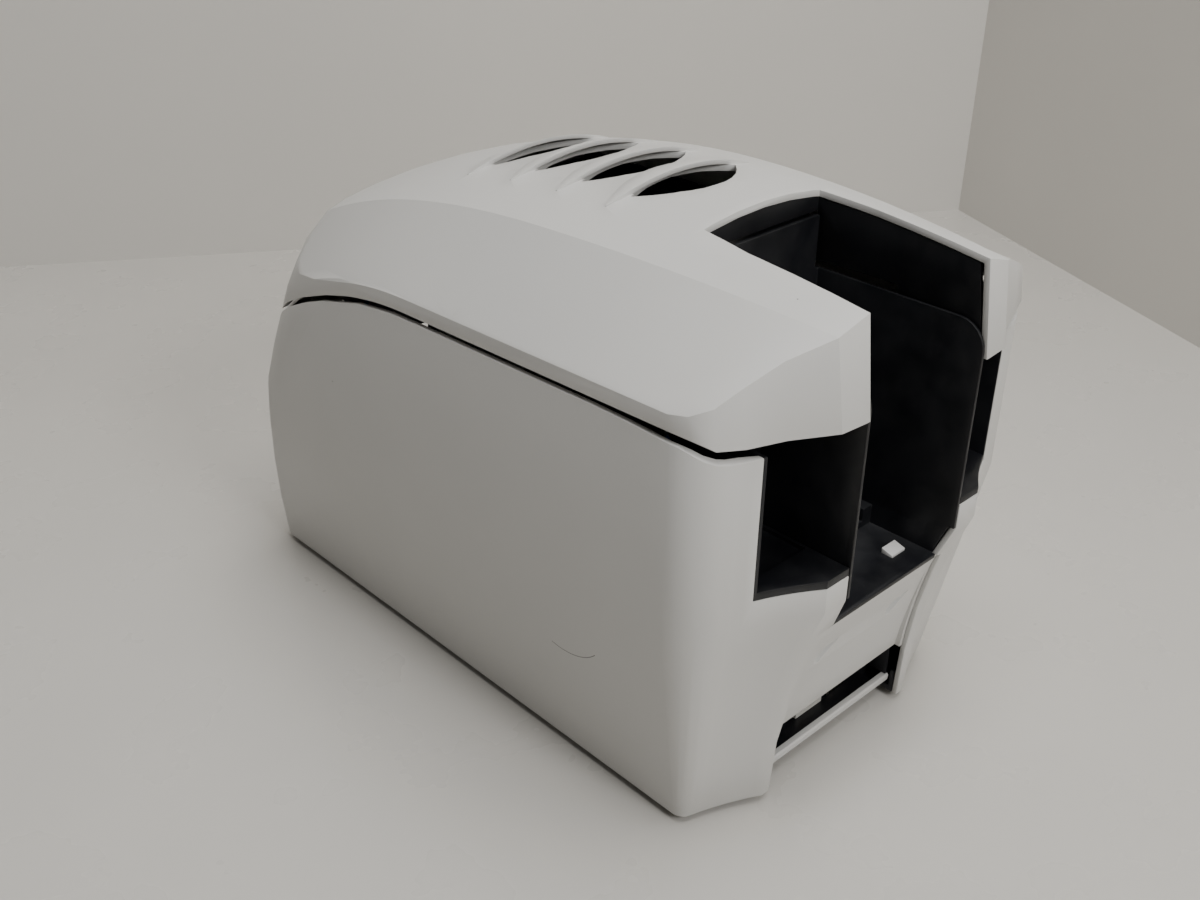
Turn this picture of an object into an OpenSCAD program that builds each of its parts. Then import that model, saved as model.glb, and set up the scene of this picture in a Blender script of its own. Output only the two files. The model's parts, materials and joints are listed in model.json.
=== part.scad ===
// Desktop card printer seen from the front along +Y: width in X, depth in Y, up in Z.
// The origin lies on the table under the middle of the printer.

/* [Body] */
// Width of the hood and of the casings above the belt line
body_w = 205; // [190:1:220]
// Width of the foot of the body
foot_w = 170; // [164:1:190]
// Depth from the foot of the front to the rear of the hood
body_l = 338; // [330:1:350]
// Height of the rubber feet
foot_h = 4; // [3:0.5:6]
// Height of the belt line where the lower body starts to draw in
belt_z = 109; // [104:1:114]
// Wall of the moulded shells
wall = 2.5; // [2:0.1:3]
// Lean of the front face in mm for each mm of height
front_lean = 0.1; // [0.05:0.01:0.14]

/* [Hood] */
// Height of the crest line at its highest point
crest_top = 226.5; // [222:0.5:230]
// Rise of the crown above the crest line
crown = 10; // [7:0.5:12]
// Height of the upright band along the edge of the hood
band_h = 6.3; // [5:0.1:8]
// Height of the top of the band at the rear
band_top = 198.5; // [196:0.5:201]
// Gap between hood and casing
split_gap = 2.8; // [2:0.1:4]
// Half width of the feeder notch at the rear
notch_w = 37; // [37:0.1:40]
// Half width of the feeder notch at its front edge
notch_w_front = 34.5; // [33:0.1:36]
// Place of the front edge of the feeder notch
notch_y = 85.5; // [82:0.5:88]
// Largest height of the brow over an air vent
brow_h = 3.5; // [2:0.1:4.5]
// Half length of an air vent
vent_l = 31; // [26:0.5:34]
// Distance from one air vent to the next
vent_pitch = 28.6; // [26:0.1:29]

/* [Feeder bay] */
// Half width of the bay between its walls
bay_w = 35; // [34:0.1:35]
// Wall of the black mouldings
bay_wall = 1.5; // [1.2:0.1:1.8]
// Height of the bay floor
bay_floor_z = 94; // [92:0.5:96]
// Height of the top of the bay walls
bay_top_z = 200; // [190:1:204]
// Height of the sill of the two rear pockets
pocket_z = 121.5; // [118:0.5:124]
// Distance of the outer wall of a pocket from the middle
pocket_w = 74.3; // [72:0.1:76]
// Place of the front wall of a pocket
pocket_y = 122; // [116:1:128]

/* [Mechanism] */
// Height of the card path
path_z = 97; // [96:0.5:98]
// Radius of the platen roller
platen_r = 8; // [7:0.1:9]
// Radius of the card rollers
roller_r = 6; // [5:0.1:7]
// Radius of a roller shaft
shaft_r = 3; // [2.5:0.1:3.5]
// Running clearance between shaft and bush
run_gap = 0.05; // [0.03:0.01:0.1]
// Half distance between the steel side frames
frame_x = 46; // [44:0.5:48]
// Sheet thickness of the side frames
frame_t = 1.5; // [1:0.1:2]
// Radius of the hinge pins
hinge_r = 3; // [2.5:0.1:4]
// Radius of a wound ribbon roll
supply_r = 15; // [12:0.5:17]
// Radius of the used ribbon roll
takeup_r = 11; // [9:0.5:14]
// Teeth of the platen gear
platen_teeth = 24; // [20:1:28]
// Teeth of the motor pinion
pinion_teeth = 12; // [10:1:16]
// Gear module
gear_m = 1; // [0.8:0.1:1.2]

/* [Hidden] */
$fn = 48;

hw = body_w/2;
fw = foot_w/2;
rear_y = body_l/2 - 1;
front_y = -body_l/2;
base_z = foot_h;
strip_x = 50;
tuck = 21;
corner_r = 17;
corner_r_foot = 6;
corner_y = 34;
peak_y = 55;
front_drop = 47.2;
front_run = 207;
split_front_z = 146;
panel_x = 39;
rim_z = 93.3;
rim_x = 34;
front_panel_x = 62;
hinge_y = 144;
hinge_z = 171;
clear = 0.3;
bay_y0 = notch_y + 0.5;
plate_y = 128;
port_top_z = 31.5;
sill_y = 138.6;
sill_z = base_z + 5.4;
cheek_x = 38.5;
board_z = base_z + 5.7;

white = [0.86, 0.86, 0.85];
black = [0.07, 0.07, 0.08];
steel = [0.62, 0.63, 0.65];
rubber = [0.13, 0.13, 0.14];

function clamp01(t) = max(0, min(1, t));
// Share of the way from the foot up to the belt line
function rise(z) = clamp01((z - base_z)/(belt_z - base_z));
function half_w(z) = fw + (hw - fw)*rise(z);
// Rear face of the middle strip: it tucks in below the belt line along a parabola
function strip_y(z) = rear_y - tuck*(1 - pow(rise(z), 2));
// The front leans back and rounds over near its top
function face_y(z) = front_y + front_lean*(z - base_z) + 0.01*pow(max(0, z - 165), 2);
// Radius of the front corners, which grows upwards into the nose of the hood
function nose_r(z) = 10 + 0.0023*pow(z - base_z, 2);
function tail_r(z) = corner_r_foot + (corner_r - corner_r_foot)*rise(z);
// The hood's rear face leans forward above its lower edge
function hood_tail(z) = 1 - 0.132*(z - 185.5);

// Height of the middle of the rear corner arc in plan
function tail_y(z) = rear_y - corner_y + 5.6*(rise(z) - 1);
// Rear edge of the outline at x and height z, drawn in by g: strip, flare and corner arc
function rear_at(x, z, g) =
    let (w = half_w(z) - g, y0 = strip_y(z) - g, r = max(tail_r(z) - g, 1.5), cx = w - r, cy = tail_y(z),
         ex = cx + r*sin(14), ey = cy + r*cos(14), t = (abs(x) - strip_x)/(ex - strip_x), sag = 1 + 1.4*rise(z))
    t <= 0 ? y0
    : t < 1 ? y0 + (ey - y0)*t - 4*sag*t*(1 - t)
    : cy + sqrt(max(0, r*r - pow(abs(x) - cx, 2)));
// Radius of a front corner in plan, drawn in by g
function corner_n(z, g) = min(nose_r(z), half_w(z) - 2) - min(g, 4);
// Front edge of the outline at x and height z
function front_at(x, z, g) =
    let (n = corner_n(z, g), over = abs(x) - (half_w(z) - g - n))
    face_y(z) + g + (over <= 0 ? 0 : n - sqrt(max(0, n*n - over*over)));

// Outline of the body at height z in plan, for upright prisms
function half_plan(z, g) =
    let (w = half_w(z) - g, n = corner_n(z, g), r = max(tail_r(z) - g, 1.5))
    concat([for (i = [0:7]) let (x = strip_x + (w - r + r*sin(14) - strip_x)*i/8) [x, rear_at(x, z, g)]],
        [for (i = [0:5]) let (a = 76 - i*76/5) [w - r + r*cos(a), tail_y(z) + r*sin(a)]],
        [for (i = [0:9]) let (a = -i*10) [w - n + n*cos(a), face_y(z) + g + n + n*sin(a)]]);
function plan(z, g) = let (h = half_plan(z, g)) concat(h, [for (i = [len(h) - 1:-1:0]) [-h[i].x, h[i].y]]);

// Faces of a grid of points with n in a row, starting at index o
function grid_faces(rows, n, o, turned) = [for (j = [0:rows - 2], i = [0:n - 2])
    let (a = o + j*n + i, b = a + n) each turned ? [[a, a + 1, b + 1], [a, b + 1, b]] : [[a, b + 1, a + 1], [a, b, b + 1]]];
// Faces between two lists of point indices of equal length
function strip_faces(p, q) = [for (i = [0:len(p) - 2]) each [[p[i], p[i + 1], q[i + 1]], [p[i], q[i + 1], q[i]]]];
// Indices round the border of a grid
function border(rows, n, o) = concat([for (i = [0:n - 1]) o + i], [for (j = [1:rows - 1]) o + j*n + n - 1],
    [for (i = [n - 2:-1:0]) o + (rows - 1)*n + i], [for (j = [rows - 2:-1:0]) o + j*n]);
// Wall between an outer and an inner grid of points
module skin(outer, inner) {
    rows = len(outer);
    n = len(outer[0]);
    k = rows*n;
    polyhedron([for (r = concat(outer, inner)) each r], concat(
        grid_faces(rows, n, 0, false), grid_faces(rows, n, k, true),
        strip_faces(border(rows, n, 0), border(rows, n, k))), convexity = 6);
}

// Crest line, where the crown meets the sloping shoulder
function crest_z(y) = y > peak_y ? crest_top - 0.00055*pow(y - peak_y, 2)
    : crest_top - front_drop*pow((peak_y - y)/front_run, 2.46);
function crest_x(y) = 66.8 - 0.000337*pow(y + 45, 2);
function band_z(y) = band_top - 0.03*(145 - y) - 0.0025*pow(max(0, -14 - y), 2);
function roof_z(x, y) = let (a = crest_x(y), c = crest_z(y))
    abs(x) <= a ? c + crown*(1 - pow(x/a, 2)) : c + (band_z(y) - c)*(abs(x) - a)/(hw - a);

// Lower edge of the hood in side view
function split_z(y) = y > 152 ? 185.5 : y > 140 ? band_z(140) - band_h - (y - 140)*(band_z(140) - band_h - 185.5)/12
    : max(split_front_z, band_z(y) - band_h);

// Columns of the hood: share of the crown, then share of the shoulder
hood_cols = [for (q = [[1, 1], [1, 0.96], [1, 0.84], [1, 0.62], [1, 0.32], [1, 0], [0.75, 0], [0.5, 0], [0.25, 0]]) q];
all_cols = concat([for (q = hood_cols) [-q[0], -q[1]]], [[0, 0]], [for (i = [8:-1:0]) hood_cols[i]]);
function col_x(q, y, g) = q[0]*crest_x(y) + q[1]*(hw - g - crest_x(y));
// Point where a column meets the front or rear wall, found by repeated steps
function wall_point(q, front, edge, g, p, k) = k == 0 ? p :
    let (x = col_x(q, p.y, g), y = front ? front_at(x, p.z, g) : rear_at(x, p.z, g) + hood_tail(p.z))
    wall_point(q, front, edge, g, [x, y, edge ? split_z(y) : roof_z(x, y) - 1.08*g], k - 1);
function wall_top(q, front, g) = wall_point(q, front, false, g, front ? [0, -150, 188] : [0, 160, 220], 9);
function wall_low(q, front, g) = wall_point(q, front, true, g, front ? [0, -150, 160] : [0, 160, 186], 9);
function wall_mid(q, front, g) =
    let (a = wall_top(q, front, g), b = wall_low(q, front, g), z = (a.z + b.z)/2, x = (a.x + b.x)/2)
    [x, front ? front_at(x, z, g) : rear_at(x, z, g) + hood_tail(z), z];
hood_rows = 24;
function hood_grid(g) =
    let (fronts = [for (q = all_cols) wall_top(q, true, g)], rears = [for (q = all_cols) wall_top(q, false, g)],
         n = len(all_cols))
    [for (j = [0:hood_rows]) [for (i = [0:n - 1])
        j == 0 ? fronts[i] : j == hood_rows ? rears[i] :
        let (y = fronts[i].y + (rears[i].y - fronts[i].y)*pow(j/hood_rows, 1.35), x = col_x(all_cols[i], y, g))
        [x, y, roof_z(x, y) - 1.08*g]]];
// Ring below the roof: low = 0 runs half way down the wall, low = 1 along the lower edge
function hood_ring(grid, low, g) =
    let (n = len(all_cols), m = hood_rows,
         front = [for (q = all_cols) low == 1 ? wall_low(q, true, g) : wall_mid(q, true, g)],
         rear = [for (q = all_cols) low == 1 ? wall_low(q, false, g) : wall_mid(q, false, g)],
         down = function (p) [p.x, p.y, low == 1 ? split_z(p.y) : (p.z + split_z(p.y))/2])
    concat(front, [for (j = [1:m - 1]) down(grid[j][n - 1])], [for (i = [n - 1:-1:0]) rear[i]],
        [for (j = [m - 1:-1:1]) down(grid[j][0])]);
module hood_skin() {
    n = len(all_cols);
    rows = hood_rows + 1;
    ring = 2*(n + rows) - 4;
    outer = hood_grid(0);
    inner = hood_grid(wall);
    k = rows*n + 2*ring;
    points = concat([for (r = outer) each r], hood_ring(outer, 0, 0), hood_ring(outer, 1, 0),
        [for (r = inner) each r], hood_ring(inner, 0, wall), hood_ring(inner, 1, wall));
    function loop(o) = [for (i = [0:ring]) o + i%ring];
    edge = border(rows, n, 0);
    inner_edge = border(rows, n, k);
    a = loop(rows*n);
    b = loop(rows*n + ring);
    c = loop(k + rows*n);
    d = loop(k + rows*n + ring);
    polyhedron(points, concat(grid_faces(rows, n, 0, false), strip_faces(edge, a), strip_faces(a, b),
        strip_faces(b, d), strip_faces(d, c), strip_faces(c, inner_edge), grid_faces(rows, n, k, true)),
        convexity = 6);
}

// Points of a side casing: from the middle panel round the rear corner to the front
function cheek_flare(z) = 6.5*(1 - pow(clamp01((z - base_z)/(rim_z - base_z)), 2));
function inner_x(z) = z <= rim_z - 1 ? panel_x + cheek_flare(z) : z < belt_z - 1 ? rim_x + 0.7 : notch_w;
function casing_point(i, z, g) =
    let (w = half_w(z) - g, n = corner_n(z, g), r = max(tail_r(z) - g, 1.5), ex = w - r + r*sin(14),
         xe = max(w - n, front_panel_x + 1.5), ae = acos((xe - w + n)/n))
    i == 0 ? [inner_x(z), strip_y(z) - g]
    : i <= 8 ? let (x = strip_x + (ex - strip_x)*(i - 1)/8) [x, rear_at(x, z, g)]
    : i <= 14 ? let (a = 76 - (i - 9)*76/5) [w - r + r*cos(a), tail_y(z) + r*sin(a)]
    : i <= 23 ? let (y = tail_y(z), yn = face_y(z) + g + n) [w, y + (yn - y)*(i - 14)/10]
    : i <= 31 ? let (a = -(i - 24)*ae/7) [w - n + n*cos(a), face_y(z) + g + n + n*sin(a)]
    : [front_panel_x, front_at(front_panel_x, z, g)];
casing_levels = [base_z, 31, 58, 82, rim_z - 1.3, rim_z + 0.3, belt_z, 130];
// The gap under the hood grows towards the rear corner
function gap_at(y) = split_gap + 3*pow(clamp01((y - 90)/60), 2);
function casing_top(i, g, z, k) = k == 0 ? z :
    let (y = casing_point(i, z, g).y) casing_top(i, g, split_z(y) - gap_at(y), k - 1);
function casing_grid(g) = [for (i = [0:32]) let (top = casing_top(i, g, 165, 7))
    [for (z = concat(casing_levels, [130 + (top - 130)*0.5, top])) let (p = casing_point(i, z, g)) [p.x, p.y, z]]];

// Points of the front cover
front_cols = [1, 0.86, 0.72, 0.56, 0.4, 0.2, 0, -0.2, -0.4, -0.56, -0.72, -0.86, -1];
function front_grid(g) = [for (t = front_cols) let (x = t*(front_panel_x - clear))
    [for (z = [base_z, 42, 76, belt_z - 2, split_front_z - split_gap]) [x, front_at(x, z, g), z]]];

// Side view shapes: points are [y, z], drawn from x0 to x1
module side_view(x0, x1, pts) {
    translate([x0, 0, 0]) rotate([90, 0, 90]) linear_extrude(x1 - x0) polygon(pts);
}
// Rear view shapes: points are [x, z], drawn from y0 to y1
module rear_view(y0, y1, pts) {
    translate([0, y1, 0]) rotate([90, 0, 0]) linear_extrude(y1 - y0) polygon(pts);
}
module block(x0, x1, y0, y1, z0, z1) {
    translate([x0, y0, z0]) cube([x1 - x0, y1 - y0, z1 - z0]);
}
module rod_x(x0, x1, y, z, r) {
    translate([x0, y, z]) rotate([0, 90, 0]) cylinder(h = x1 - x0, r = r);
}
module both_sides() {
    children();
    mirror([1, 0, 0]) children();
}

// Notch in plan: its sides draw in towards the front
module notch(g) {
    translate([0, 0, 140]) linear_extrude(140) polygon([
        [-notch_w - g, rear_y + 20], [-notch_w - g, 110], [-notch_w_front - g, notch_y - g],
        [notch_w_front + g, notch_y - g], [notch_w + g, 110], [notch_w + g, rear_y + 20]]);
}

// Joins closed rings of equal, even length into a solid
module loft(rings) {
    n = len(rings[0]);
    m = len(rings);
    sides = [for (j = [0:m - 2], i = [0:n - 1]) let (a = j*n + i, b = j*n + (i + 1)%n)
        each [[a, b, b + n], [a, b + n, a + n]]];
    last = (m - 1)*n;
    // Each end is filled across, from one half of its ring to the other
    ends = [for (i = [0:n/2 - 2]) each [[i + 1, i, n - 2 - i], [n - 2 - i, i, n - 1 - i],
        [last + i, last + i + 1, last + n - 2 - i], [last + i, last + n - 2 - i, last + n - 1 - i]]];
    polyhedron([for (r = rings) each r], concat(sides, ends), convexity = 4);
}
vent_ys = [for (i = [0:3]) -43 + vent_pitch*i];
brow_t = 1.9;
vent_sag = [12, 12, 14, 17];
vent_under = 7;
// Opening of a vent: it bows to the rear and runs forward under its brow
module vent_opening(i) {
    y = vent_ys[i];
    bow = [for (t = [-1:0.2:1.01]) [t*vent_l, y + 0.8 + vent_sag[i]*(1 - t*t)]];
    front = [for (t = [0.8:-0.2:-0.81]) [t*vent_l, y - vent_under*(1 - t*t)]];
    translate([0, 0, 190]) linear_extrude(70) polygon(concat(bow, front));
}
// Brow: a thin scoop that rises over the front half of its vent
module vent_brow(y) {
    reach = vent_l + 12;
    steps = [for (t = [-0.98:0.14:0.99]) t];
    loft([for (t = steps) let (x = -t*reach, s = 1 - t*t, y0 = y - 2 - 13*s, y1 = y - 1.6*(1 - s), ym = (y0 + y1)/2,
        lift = brow_h*s, r0 = roof_z(x, y0), rm = (r0 + roof_z(x, y1))/2, r1 = roof_z(x, y1))
        [[x, y1, r1 + lift], [x, ym, rm + 0.62*lift + 0.05], [x, y0, r0 + 0.05],
         [x, y0, r0 - 1.2], [x, ym, rm + 0.62*lift - brow_t], [x, y1, r1 + lift - brow_t]]]);
}

module hood_shell() {
    color(white) union() {
        difference() {
            hood_skin();
            notch(0);
            for (i = [0:3]) vent_opening(i);
        }
        for (y = vent_ys) vent_brow(y);
    }
}

// Black lining round the notch, hung from the roof clear of the bay walls
module notch_liner() {
    color(black) difference() {
        intersection() {
            difference() {
                notch(1.7);
                notch(0.2);
            }
            union() {
                side_view(-notch_w - 3, notch_w + 3, concat([[rear_y + hood_tail(193) - wall - 0.4, 193], [128, 193],
                    [125, bay_top_z + 3], [notch_y - 0.1, bay_top_z + 3]],
                    [for (y = [notch_y:15:150]) [y, roof_z(notch_w + 1.7, y) - 1.17*wall]],
                    [[160, roof_z(notch_w + 1.7, 160) - 1.17*wall]]));
                rear_view(notch_y - 2, notch_y + 2, concat([[-36, 224]],
                    [for (x = [-36:9:36]) [x, roof_z(x, notch_y - 2) - 1.17*wall]], [[36, 224]]));
            }
        }
        // Clear of the bay's front wall as the hood swings
        block(-50, 50, notch_y - 3, notch_y - 0.1, 190, 224);
    }
}

tray_z = 200;
fan_y = 8;
// Black tray under the crown that closes the vents off from the mechanism
module hood_liner() {
    color(black) difference() {
        union() {
            block(-52, 52, -70, 60, tray_z, tray_z + 2);
            both_sides() block(50, 52, -70, 60, tray_z + 2, tray_z + 12);
            block(-52, 52, -70, -68, tray_z + 2, tray_z + 8);
            block(-52, 52, 58, 60, tray_z + 2, tray_z + 20);
            // Arms out to the band of the hood
            for (y = [-50, 20]) both_sides() {
                block(52, hw - wall - 0.15, y, y + 5, split_z(y) + 1, split_z(y) + 3.6);
                block(52, 56, y, y + 5, split_z(y) + 1, tray_z + 2);
            }
        }
        translate([0, fan_y, tray_z - 1]) cylinder(h = 4, r = 27);
        for (x = [-24, 24], y = [-24, 24]) translate([x, fan_y + y, tray_z - 1]) cylinder(h = 4, r = 1.7);
    }
}

fan_z = tray_z + 2;
module vent_fan_frame() {
    color(rubber) translate([0, fan_y, fan_z]) {
        difference() {
            translate([-30, -30, 0]) cube([60, 60, 12]);
            translate([0, 0, -1]) cylinder(h = 14, r = 27.5);
            for (x = [-24, 24], y = [-24, 24]) translate([x, y, -1]) cylinder(h = 14, r = 1.7);
        }
        difference() {
            union() {
                cylinder(h = 2, r = 12);
                for (a = [0, 90]) rotate(a) translate([-28, -1.5, 0]) cube([56, 3, 2]);
            }
            translate([0, 0, 0.8]) cylinder(h = 3, r = 1.5 + run_gap);
        }
    }
}
module vent_fan_rotor() {
    color(black) translate([0, fan_y, fan_z]) {
        translate([0, 0, 2.2]) cylinder(h = 8.8, r = 11);
        translate([0, 0, 1]) cylinder(h = 2, r = 1.5);
        for (a = [0:360/7:350]) rotate(a) translate([10, 0, 3.2])
            rotate([32, 0, 0]) translate([0, -0.6, 0]) cube([15.5, 1.2, 7.5]);
    }
}

head_y = 8;
head_z = path_z + 0.4;
head_pivot = [42, 131];
// Sheet bracket that carries the print head, pivoted in the hood
module head_bracket() {
    color(steel) difference() {
        union() {
            block(-36, 36, head_y - 8, head_y + 20, head_z + 7, head_z + 9);
            both_sides() side_view(34, 36, [[head_y - 8, head_z + 7], [head_y + 20, head_z + 7], [head_y + 22, head_z + 16],
                [head_pivot.x + 5, head_z + 26], [head_pivot.x + 5, head_pivot.y + 4], [head_pivot.x - 6, head_pivot.y + 4],
                [head_y - 8, head_z + 16]]);
            rod_x(-36, 36, head_pivot.x, head_pivot.y, 5);
        }
        rod_x(-40, 40, head_pivot.x, head_pivot.y, shaft_r + run_gap);
    }
}
module thermal_head() {
    color([0.75, 0.73, 0.68]) side_view(-30, 30, [[head_y - 3, head_z + 1], [head_y - 1.6, head_z], [head_y + 1.6, head_z],
        [head_y + 3, head_z + 1], [head_y + 8, head_z + 1], [head_y + 8, head_z + 7], [head_y - 7, head_z + 7],
        [head_y - 7, head_z + 1]]);
}
module head_heat_sink() {
    color(steel) {
        block(-30, 30, head_y - 6, head_y + 18, head_z + 9, head_z + 12);
        for (x = [-28:8:28]) block(x - 0.8, x + 0.8, head_y - 6, head_y + 18, head_z + 11, head_z + 22);
    }
}
// Plates that hang from the tray and hold the pivot rod of the print head
module head_hangers() {
    color(steel) both_sides() difference() {
        union() {
            block(38, 40, head_pivot.x - 8, head_pivot.x + 8, head_pivot.y - 7, tray_z);
            block(38, 46, head_pivot.x - 8, head_pivot.x + 8, tray_z - 2, tray_z);
        }
        rod_x(37, 41, head_pivot.x, head_pivot.y, shaft_r + 0.02);
    }
}
module head_pivot_rod() {
    color(steel) rod_x(-42, 42, head_pivot.x, head_pivot.y, shaft_r);
}

arm_x0 = 77;
arm_x1 = 81;
leaf_x0 = 83;
leaf_x1 = 86;
// Arm that hangs from the hood and carries its pivot pin
module hinge_arm() {
    color(black) difference() {
        union() {
            // The leg runs forward before it rises, so that it clears the casing when the hood is open
            side_view(arm_x0, arm_x1, [[104, 192], [124, 192], [127, 180], [132, 177.5], [hinge_y + 2, hinge_z + 4],
                [hinge_y + 4, hinge_z - 3], [hinge_y - 4, hinge_z - 4], [120, hinge_z - 3], [115, 174], [104, 188]]);
            rod_x(arm_x0, arm_x1, hinge_y, hinge_z, 5);
            block(arm_x0, hw - wall - 0.15, 106, 130, 192.5, 195.5);
            block(arm_x0, arm_x1, 106, 130, 191, 193);
        }
        rod_x(arm_x0 - 1, arm_x1 + 1, hinge_y, hinge_z, hinge_r + 0.02);
    }
}
module hinge_pin() {
    color(steel) {
        rod_x(arm_x0 - 0.5, leaf_x1 + 1, hinge_y, hinge_z, hinge_r);
        rod_x(arm_x0 - 1, arm_x0, hinge_y, hinge_z, hinge_r + 1.5);
    }
}
module hinge_bracket() {
    color(steel) difference() {
        union() {
            side_view(leaf_x0, leaf_x1, [[116, 150], [132, 150], [hinge_y + 4.5, hinge_z - 4], [hinge_y + 4.5, hinge_z + 4.5],
                [hinge_y - 5, hinge_z + 4.5], [116, 156]]);
            block(leaf_x0, hw - wall - 0.15, 116, 131, 150, 153);
        }
        rod_x(leaf_x0 - 1, leaf_x1 + 1, hinge_y, hinge_z, hinge_r + run_gap);
    }
}

catch_y = -139.5;
// Tongue behind the front of the hood that drops between the leaves of the clip
module catch_tongue() {
    color(black) {
        side_view(-10, 10, [[catch_y - 1.5, 189.8], [catch_y - 0.5, 192.15], [catch_y + 8, 192.15], [catch_y + 8, 189], [catch_y + 1.5, 187],
            [catch_y + 1.5, 140], [catch_y, 138.5], [catch_y - 1.5, 140]]);
    }
}
module catch_clip() {
    color(steel) {
        side_view(-8, 8, [[face_y(119) + wall + 0.2, 118.4], [catch_y + 5, 118.4], [catch_y + 5, 144], [catch_y + 3.6, 144],
            [catch_y + 1.9, 141.5], [catch_y + 3.4, 138], [catch_y + 3.4, 120], [catch_y - 3.6, 120],
            [catch_y - 3.6, 138], [catch_y - 2.7, 141.5], [catch_y - 3.8, 144], [catch_y - 5, 144], [catch_y - 5, 120],
            [face_y(120) + wall + 0.2, 120]]);
    }
}

module side_casing() {
    color(white) difference() {
        skin(casing_grid(0), casing_grid(wall));
        // Pocket opening in the rear face
        block(0, pocket_w + bay_wall, 100, rear_y + 5, pocket_z - bay_wall, 230);
    }
}

// Middle panel of the rear, set in more and more towards the foot
panel_levels = [31, 58, 82, rim_z - 1.3];
function panel_y(z) = strip_y(z) - 5.5 + 4*(z - 12)/81;
// Outline of the panel from the rear, up to the cheeks and narrower by g
function panel_outline(g) = concat([for (z = panel_levels) [inner_x(z) - g, z]],
    [for (i = [3:-1:0]) [g - inner_x(panel_levels[i]), panel_levels[i]]]);
module rear_panel() {
    zs = [for (i = [0:6]) port_top_z + 1.5 + (bay_floor_z - port_top_z - 3.5)*i/6];
    outer = [for (z = zs) [panel_y(z), z]];
    inner = [for (i = [6:-1:0]) [outer[i].x - wall, outer[i].y]];
    // Edge flanges close the step between the panel and the cheeks
    lip = [for (z = zs) [strip_y(z) - wall + 0.6, z]];
    color(white) difference() {
        intersection() {
            union() {
                side_view(-50, 50, concat(outer, inner));
                difference() {
                    side_view(-50, 50, concat(lip, inner));
                    rear_view(100, 180, panel_outline(2.2));
                }
            }
            rear_view(100, 180, panel_outline(0.2));
        }
        // Two shallow rests for the hooks of the feeder
        for (x = [-24, 24]) hook_dent(x);
    }
}
port_w = panel_x + 6.3;
// White sill below the ports, in front of the black sill of the pan
module port_sill() {
    z = sill_z;
    x0 = inner_x(z) - 0.3;
    color(white) side_view(-x0, x0, [[sill_y, z], [panel_y(z) - 0.6, z], [panel_y(z) + 0.2, z + 0.8],
        [panel_y(z + 4) + 0.2, z + 3.4], [panel_y(z + 4) - 0.6, z + 4], [sill_y, z + 4]]);
}
module hook_dent(x) {
    y = panel_y(68);
    translate([x, y + 1.6, 68]) rotate([-18, 0, 0]) rotate([90, 0, 0]) linear_extrude(3)
        polygon([[-7.4, 5], [7.4, 5], [4.5, -4.6], [2, -4.6]]);
}

// Front cover between the casings, with the card slot and the button place
module front_panel() {
    color(white) difference() {
        skin(front_grid(0), front_grid(wall));
        block(-29, 29, front_y - 5, -100, path_z - 9, path_z + 6);
        translate([46, -100, 126]) rotate([90, 0, 0]) cylinder(h = 100, r = 7.3);
        for (x = [10, 19, 28]) translate([x, -100, 126]) rotate([90, 0, 0]) cylinder(h = 100, r = 1.8);
    }
}

foot_ys = [-107.5, 58];
post_x = frame_x - 3;
module base_pan() {
    color(black) difference() {
        union() {
            translate([0, 0, base_z]) linear_extrude(3) polygon(plan(base_z, wall + 0.2));
            translate([0, 0, base_z]) linear_extrude(12) difference() {
                polygon(plan(base_z, wall + 0.2));
                polygon(plan(base_z, wall + 2.2));
            }
            // Sill under the ports
            block(-cheek_x, cheek_x, plate_y + 1.8, sill_y - 0.2, base_z, sill_z + 1.6);
            // Posts for the steel frames
            for (x = [-post_x, post_x], y = foot_ys) block(x - 5, x + 5, y - 6, y + 6, base_z, frame_z0);
            // Pads under the main board
            for (x = [-33, 33], y = [78, 120]) block(x - 3, x + 3, y - 3, y + 3, base_z, board_z);
        }
        for (x = [-post_x, post_x], y = foot_ys) translate([x, y, 0]) cylinder(h = 40, r = 1.7);
        // The pan ends in a bevel behind the white sill
        side_view(-port_w, port_w, [[sill_y - 6.6, base_z - 1], [sill_y - 6.6, base_z], [sill_y - 0.2, sill_z - 0.2],
            [sill_y - 0.2, base_z + 16], [152, base_z + 16], [152, base_z - 1]]);
        // Room for the front cover, which leans back
        block(-100, 100, front_y - 5, face_y(base_z + 3) + wall + 0.1, 0, 40);
        block(-100, 100, front_y - 5, face_y(base_z + 12) + wall + 0.2, base_z + 3, 40);
    }
}
module rubber_feet() {
    color(rubber) for (x = [-58, 58], y = [-140, 115]) translate([x, y, 0]) cylinder(h = foot_h, r1 = 8, r2 = 9);
}
module base_screws() {
    color(steel) for (x = [-post_x, post_x], y = foot_ys) translate([x, y, base_z - 1.6]) {
        cylinder(h = 1.6, r = 3.2);
        cylinder(h = 22, r = 1.5);
    }
}

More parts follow.
